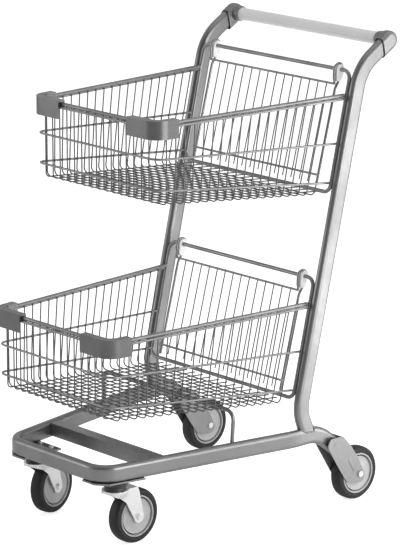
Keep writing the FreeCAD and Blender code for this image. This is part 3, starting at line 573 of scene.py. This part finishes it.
def tyre_mesh():
    """Rubber ring with a gently crowned tread."""
    wall = TYRE_HALF
    foot = [(SEAT_X, SEAT_R), (wall - 0.0005, SEAT_R + 0.0015)]
    fine_groove = [(wall, SEAT_R + 0.0035), (wall - 0.0006, SEAT_R + 0.0041), (wall, SEAT_R + 0.0047)]
    shoulder = [(wall - 0.0002, WHEEL_R - 0.0070), (wall - 0.0014, WHEEL_R - 0.0040),
                (wall - 0.0042, WHEEL_R - 0.0014), (wall - 0.0085, WHEEL_R - 0.0003)]
    crown = [(0.0001, WHEEL_R)]
    return spun(mirrored_profile(foot + fine_groove + shoulder + crown), WHEEL_SEGMENTS, TYRE_ROUND, 2)


# The centre's parts, as radii from the axle and as depths below the tyre's wall.
BUSHING_R = 0.009
BOSS_R = 0.0145
BOSS_DEPTH = 0.0010
DISH_IN = 0.0165
DISH_MIDDLE = 0.0300
DISH_OUT = 0.0388
GROOVE_IN = 0.0409
GROOVE_OUT = 0.0431
GROOVE_DEPTH = 0.0070
LIP_R = 0.0450
HUB_ROUND = 0.0004


def hub_mesh():
    """Wheel centre with boss, dish, groove and lip."""
    wall = TYRE_HALF
    boss = [(wall - BOSS_DEPTH, BUSHING_R), (wall - BOSS_DEPTH, BOSS_R)]
    dish = [(wall - 0.0035, DISH_IN), (wall - 0.0048, DISH_MIDDLE), (wall - 0.0040, DISH_OUT)]
    groove = [(wall - 0.0028, GROOVE_IN - 0.0006), (wall - GROOVE_DEPTH, GROOVE_IN),
              (wall - GROOVE_DEPTH, GROOVE_OUT), (wall - 0.0006, GROOVE_OUT + 0.0007)]
    lip = [(wall + 0.0002, LIP_R), (wall - 0.0004, SEAT_R - 0.0004), (SEAT_X, SEAT_R)]
    return spun(mirrored_profile(boss + dish + groove + lip), WHEEL_SEGMENTS, HUB_ROUND, 2)


def in_groove(middle):
    """Whether a face's middle lies in the centre's groove."""
    return GROOVE_IN - 0.0004 < math.hypot(middle.y, middle.z) < GROOVE_OUT + 0.0003


def wheel_pose(wheel):
    """Matrix that puts a wheel made about X onto its axle."""
    joint = joints["wheel_" + wheel + "_spin"]
    axis = Vector(joint["axis"])
    return Matrix.Translation(joint["pos_m"]) @ Matrix.Rotation(math.atan2(axis.y, axis.x), 4, "Z")


for wheel in ("front_right", "front_left", "rear_right", "rear_left"):
    body = "wheel_" + wheel
    rubber = tyre_mesh()
    bmesh.ops.transform(rubber, matrix=wheel_pose(wheel), verts=rubber.verts)
    add_piece(rubber, "rubber_" + wheel, TYRE_RUBBER, body, ("tyre_" + wheel,))
    centre = hub_mesh()
    for face in centre.faces:
        # Faces in the groove get the second material, the groove's painted shade.
        face.material_index = int(in_groove(face.calc_center_median()))
    bmesh.ops.transform(centre, matrix=wheel_pose(wheel), verts=centre.verts)
    piece = add_piece(centre, "centre_" + wheel, HUB_PLASTIC, body, ("hub_" + wheel,))
    piece.data.materials.append(GROOVE_PAINTED_SHADE)
    dress(BUSHING_PLASTIC, "bushing_" + wheel)


# ---------------------------------------------------------------- front casters
# Mounting plate bolted under the frame, a dark ball-race housing, and a fork pressed from bright
# zinc plated steel whose crown runs out into a lip over the wheel.
ZINC = finish("bright_zinc", grey(0.84), grey(0.76), metal=0.85, smooth=0.24, rough=0.36, cloud_scale=22.0,
              skin_scale=700.0, bump=0.03)
HOUSING = finish("dark_housing", (0.035, 0.035, 0.037), (0.06, 0.058, 0.056), metal=0.4, smooth=0.35,
                 rough=0.6, cloud_scale=40.0)
FORK_COAT = finish("fork_powder_coat", grey(0.29), grey(0.24), metal=0.6, smooth=0.32, rough=0.5, wear=0.4,
                   bare=grey(0.6))
BOLT_ROUND = 0.0006
PLATE_ROUND = 0.0008
dress(ZINC, "kingpins")
for node, body, coat in (("plate_bolts", "frame", ZINC), ("rear_axles", "frame", ZINC),
                         ("fork_bolts", "frame", FORK_COAT), ("axle_front_right", "swivel_right", ZINC),
                         ("axle_front_left", "swivel_left", ZINC)):
    even_shading(add_piece(softened_copy(node, BOLT_ROUND, 2), node + "_bright", coat, body,
                           (node,)))
even_shading(add_piece(softened_copy("caster_plates", PLATE_ROUND, 2), "caster_plates_sheet", TUBE_COAT,
                       "frame", ("caster_plates",)))

# Both kinds of fork are pressed from one sheet into a channel that straddles the wheel.
FORK_HALF = 0.0206
FORK_SHEET = 0.0026
FORK_CREASE = 50.0
FOLD_ANGLE = math.radians(60.0)
BROKEN_EDGE = 0.0005


def channel(outline, rounding, shoulder, is_web):
    """Bmesh of a pressed channel: two cheeks with a Y-Z outline, joined over the edges that is_web picks."""
    made = bmesh.new()
    ring = [made.verts.new((FORK_HALF, y, z)) for y, z in outline]
    made.faces.new(ring)
    round_off(made, ring, rounding, 4, affect="VERTICES")
    push_out(made, (-2 * FORK_HALF, 0, 0))
    rims = [f for f in made.faces if abs(f.normal.x) < 0.5 and not is_web(f.calc_center_median())]
    bmesh.ops.delete(made, geom=rims, context="FACES")
    folds = [e for e in made.edges if len(e.link_faces) == 2 and e.calc_face_angle(0.0) > FOLD_ANGLE]
    round_off(made, folds, shoulder, 5)
    return made


def fork_piece(fork, name, wheel, material, body, node):
    """Places a one-skin pressing on its axle and gives it its sheet thickness and broken edges."""
    bmesh.ops.transform(fork, matrix=wheel_pose(wheel), verts=fork.verts)
    piece = add_piece(fork, name, material, body, (node,), FORK_CREASE)
    wall = piece.modifiers.new("sheet", "SOLIDIFY")
    wall.thickness = FORK_SHEET
    wall.offset = -1.0
    edge = piece.modifiers.new("broken_edges", "BEVEL")
    edge.width = BROKEN_EDGE
    edge.segments = 2
    edge.limit_method = "ANGLE"
    edge.angle_limit = math.radians(FORK_CREASE)
    even_shading(piece)


# The front pressing, measured from the axle: a round crown on the swivel axis, TRAIL in front of the
# axle, and a skirt under it that narrows into two cheeks with a rounded eye for the axle.
TRAIL = 0.052
CROWN_R = 0.030
CROWN_TOP = 0.0715
CROWN_FRONT = -TRAIL - CROWN_R
CROWN_EDGE = 0.0012
CROWN_FOLD = 0.0045
SKIRT_LOW = 0.050
SKIRT_HIGH = CROWN_TOP - 0.004
LIP_DEPTH = 0.006
EYE_R = 0.0140
EYE_POINTS = 9
EYE_START = 20.0
EYE_SWEEP = 190.0
NOSE_HALF = 0.001
NOSE_SHARE = 0.68


def slice_across(made, axis, first, step, count):
    """Cuts a mesh at even steps along an axis, so that it can be bent."""
    for k in range(count):
        place = Vector(axis) * (first + step * k)
        bmesh.ops.bisect_plane(made, geom=made.verts[:] + made.edges[:] + made.faces[:], plane_co=place,
                               plane_no=axis)


def front_pressing():
    """Front fork: round crown with a skirt that runs down into two tapering cheeks."""
    outline = [(CROWN_FRONT, CROWN_TOP), (-0.003, CROWN_TOP), (0.0015, 0.058)]
    for k in range(EYE_POINTS):
        turn = math.radians(EYE_START - EYE_SWEEP * k / (EYE_POINTS - 1))
        outline.append((EYE_R * math.cos(turn), EYE_R * math.sin(turn)))
    outline += [(-0.037, 0.0405), (-0.054, 0.0535), (CROWN_FRONT, CROWN_TOP - LIP_DEPTH)]
    made = channel(outline, CROWN_EDGE, CROWN_FOLD, lambda middle: middle.z > CROWN_TOP - 0.001)
    slice_across(made, (0, 0, 1), SKIRT_LOW - 0.004, 0.0032, 8)
    slice_across(made, (0, 1, 0), CROWN_FRONT + 0.001, 0.0042, 14)
    for corner in made.verts:
        y = corner.co.y + TRAIL
        reach = math.sqrt(max(CROWN_R ** 2 - y ** 2, NOSE_HALF ** 2))
        if y > 0.0:
            reach = max(reach, FORK_HALF)
        share = min(1.0, max(0.0, (corner.co.z - SKIRT_LOW) / (SKIRT_HIGH - SKIRT_LOW)))
        share = share * share * (3.0 - 2.0 * share)
        if y < -CROWN_R * NOSE_SHARE:
            share = 1.0
        corner.co.x *= 1.0 + share * (reach / FORK_HALF - 1.0)
    return made


# The swivel head's parts, as radii round the swivel axis: a fixed housing with a raised belt, and
# below it the race that turns with the fork.
PIN_R = 0.0065
BELT_R = 0.0280
BELT_EDGE_R = 0.0265
NECK_R = 0.0262
HEAD_TOP_R = 0.0240
RACE_GAP = 0.0004
TURNED_SEGMENTS = 64


def add_turning(profile, rounding, name, body, swivel, nodes):
    """Adds a dark piece turned about the swivel axis from (height, radius) corners."""
    turned = spun(profile, TURNED_SEGMENTS, rounding, 2)
    stand = Matrix.Translation((swivel[0], swivel[1], 0)) @ Matrix.Rotation(-math.pi / 2, 4, "Y")
    bmesh.ops.transform(turned, matrix=stand, verts=turned.verts)
    add_piece(turned, name, HOUSING, body, nodes)


for _, hand in SIDES:
    fork_piece(front_pressing(), "zinc_fork_" + hand, "front_" + hand, ZINC, "swivel_" + hand,
               "fork_front_" + hand)
    swivel = joints["swivel_" + hand]["pos_m"]
    head_low, head_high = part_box("caster_head_" + hand)
    base = head_low.z
    top = head_high.z
    housing = [(base, PIN_R), (base, BELT_EDGE_R), (base + 0.0012, BELT_R), (base + 0.0068, BELT_R),
               (base + 0.0078, NECK_R), (base + 0.0092, NECK_R), (top - 0.002, HEAD_TOP_R),
               (top, HEAD_TOP_R), (top, PIN_R)]
    add_turning(housing, 0.0004, "ball_housing_" + hand, "frame", swivel, ("caster_head_" + hand,))
    crown_z = joints["wheel_front_" + hand + "_spin"]["pos_m"][2] + CROWN_TOP
    race = [(crown_z - 0.0005, PIN_R), (crown_z - 0.0005, 0.0250), (crown_z + 0.0015, 0.0240),
            (base - 0.0022, 0.0225), (base - RACE_GAP, 0.0235), (base - RACE_GAP, PIN_R)]
    add_turning(race, 0.0003, "ball_race_" + hand, "swivel_" + hand, swivel, ())


# ---------------------------------------------------------------- rear forks
# Pressed steel channels in the frame's grey, bolted round the down-turned ends of the rails.
# Each outer cheek has a long pressed rib that leans with the cheek.
dress(BUSHING_PLASTIC, "tail_blocks")
REAR_EDGE = 0.0035
REAR_FOLD = 0.0040
WEB_LOWEST = 0.071
WEB_FOREMOST = -0.0545
RIB_LENGTH = 0.030
RIB_R = 0.0042
RIB_FLATNESS = 0.32
RIB_LEAN = math.radians(28.0)
RIB_MIDDLE = (-0.0270, 0.0270)


def on_slope(middle):
    """Whether a face's middle lies on the sloping top that joins the cheeks."""
    return middle.z > WEB_LOWEST and middle.y > WEB_FOREMOST


def rear_pressing():
    """Rear fork: cheeks that hold the rail's end between them, joined over the sloping top."""
    top = [(-0.1025, 0.0905), (-0.095, 0.1020), (-0.055, 0.1015)]
    back_edge = [(-0.029, 0.0730), (-0.009, 0.0450), (0.006, 0.0165), (0.0165, -0.0045)]
    eye = [(0.0135, -0.0150), (0.004, -0.0200), (-0.010, -0.0205)]
    front_edge = [(-0.037, -0.0125), (-0.046, -0.0055), (-0.060, 0.0155), (-0.102, 0.0815)]
    return channel(top + back_edge + eye + front_edge, REAR_EDGE, REAR_FOLD, on_slope)


def pressed_rib(side, hand):
    """Bmesh of the rib on one cheek: a stretched and flattened ball, half sunk into the sheet."""
    made = bmesh.new()
    bmesh.ops.create_uvsphere(made, u_segments=32, v_segments=16, radius=RIB_R)
    for corner in made.verts:
        if abs(corner.co.z) > SPIN_MERGE:
            corner.co.z += math.copysign(RIB_LENGTH / 2, corner.co.z)
        corner.co.x *= RIB_FLATNESS
    seat = Matrix.Translation((side * FORK_HALF, *RIB_MIDDLE)) @ Matrix.Rotation(RIB_LEAN, 4, "X")
    bmesh.ops.transform(made, matrix=wheel_pose("rear_" + hand) @ seat, verts=made.verts)
    return made


for side, hand in SIDES:
    fork_piece(rear_pressing(), "grey_fork_" + hand, "rear_" + hand, FORK_COAT, "frame",
               "fork_rear_" + hand)
    add_piece(pressed_rib(side, hand), "pressed_rib_" + hand, FORK_COAT, "frame", ())


# ---------------------------------------------------------------- studio
# A pale seamless floor that glows a little, and four soft lights: a narrow strip close to the right
# upright, a strong one far out on the right, a weaker one at the front left, and one overhead.
FLOOR_SIZE = 60.0
FLOOR_DROP = 0.0004
FLOOR_GLOW = 0.18
FLOOR_GLOW_SEEN = 0.55
floor_maker = bmesh.new()
bmesh.ops.create_grid(floor_maker, x_segments=1, y_segments=1, size=FLOOR_SIZE / 2)
floor_mesh = bpy.data.meshes.new("floor")
floor_maker.to_mesh(floor_mesh)
floor_maker.free()
floor = bpy.data.objects.new("floor", floor_mesh)
floor.location.z = -FLOOR_DROP
bpy.context.scene.collection.objects.link(floor)
paper = bpy.data.materials.new("white_paper")
paper.use_nodes = True
paper_tree = paper.node_tree
paper_shader = paper_tree.nodes["Principled BSDF"]
paper_shader.inputs["Base Color"].default_value = (0.86, 0.86, 0.86, 1.0)
paper_shader.inputs["Roughness"].default_value = 0.9
paper_shader.inputs["Emission Color"].default_value = (1.0, 1.0, 1.0, 1.0)
seen = paper_tree.nodes.new("ShaderNodeLightPath").outputs["Is Camera Ray"]
glow = maths(paper_tree, "ADD", maths(paper_tree, "MULTIPLY", seen, FLOOR_GLOW_SEEN), FLOOR_GLOW)
paper_tree.links.new(glow, paper_shader.inputs["Emission Strength"])
floor_mesh.materials.append(paper)


def softbox(name, place, aim, width, height, watts):
    """Rectangular area light that faces a point."""
    lamp = bpy.data.lights.new(name, "AREA")
    lamp.shape = "RECTANGLE"
    lamp.size = width
    lamp.size_y = height
    lamp.energy = watts
    holder = bpy.data.objects.new(name, lamp)
    holder.location = place
    holder.rotation_euler = (Vector(aim) - Vector(place)).to_track_quat("-Z", "Y").to_euler()
    holder.visible_camera = False
    bpy.context.scene.collection.objects.link(holder)


softbox("strip_box", (0.82, 0.76, 0.62), aim=(0.25, 0.24, 0.70), width=0.40, height=1.35, watts=6.0)
softbox("right_box", (3.2, 0.2, 1.1), aim=(0, 0, 0.6), width=2.2, height=2.0, watts=60.0)
softbox("left_box", (-3.2, -3.2, 1.1), aim=(0, 0, 0.5), width=2.2, height=1.8, watts=24.0)
softbox("top_box", (0.5, 0.5, 4.5), aim=(0, 0, 0.5), width=3.0, height=3.0, watts=22.0)

# The room: white paper all round, which darkens towards the camera's place and overhead.
DARK_WAY = (0.68, -0.66, 0.32)
ROOM_BRIGHT = 0.62
ROOM_DARK = 0.16
world = bpy.data.worlds.new("studio")
bpy.context.scene.world = world
world.use_nodes = True
room = world.node_tree
towards = room.nodes.new("ShaderNodeVectorMath")
towards.operation = "DOT_PRODUCT"
room.links.new(room.nodes.new("ShaderNodeTexCoord").outputs["Generated"], towards.inputs[0])
towards.inputs[1].default_value = DARK_WAY
bright = ramp(room, towards.outputs["Value"], 0.10, 0.85, ROOM_BRIGHT, ROOM_DARK)
room.links.new(bright, room.nodes["Background"].inputs["Strength"])
room.nodes["Background"].inputs["Color"].default_value = (1.0, 1.0, 1.0, 1.0)

# The camera stands to the right of the nose, a little above the upper basket, with a long lens.
AZIMUTH = math.radians(47.29)
ELEVATION = math.radians(14.60)
DISTANCE = 6.920
AIM = Vector((0.0, 0.0479, 0.5304))
SENSOR_WIDTH = 36.0
LENS = 201.2
level = math.cos(ELEVATION)
back = Vector((math.sin(AZIMUTH) * level, -math.cos(AZIMUTH) * level, math.sin(ELEVATION)))
camera_data = bpy.data.cameras.new("camera")
camera_data.sensor_width = SENSOR_WIDTH
camera_data.lens = LENS
camera_data.clip_end = 200.0
camera = bpy.data.objects.new("camera", camera_data)
camera.location = AIM + back * DISTANCE
camera.rotation_euler = back.to_track_quat("Z", "Y").to_euler()
bpy.context.scene.collection.objects.link(camera)
bpy.context.scene.camera = camera
bpy.context.scene.view_settings.view_transform = "Standard"
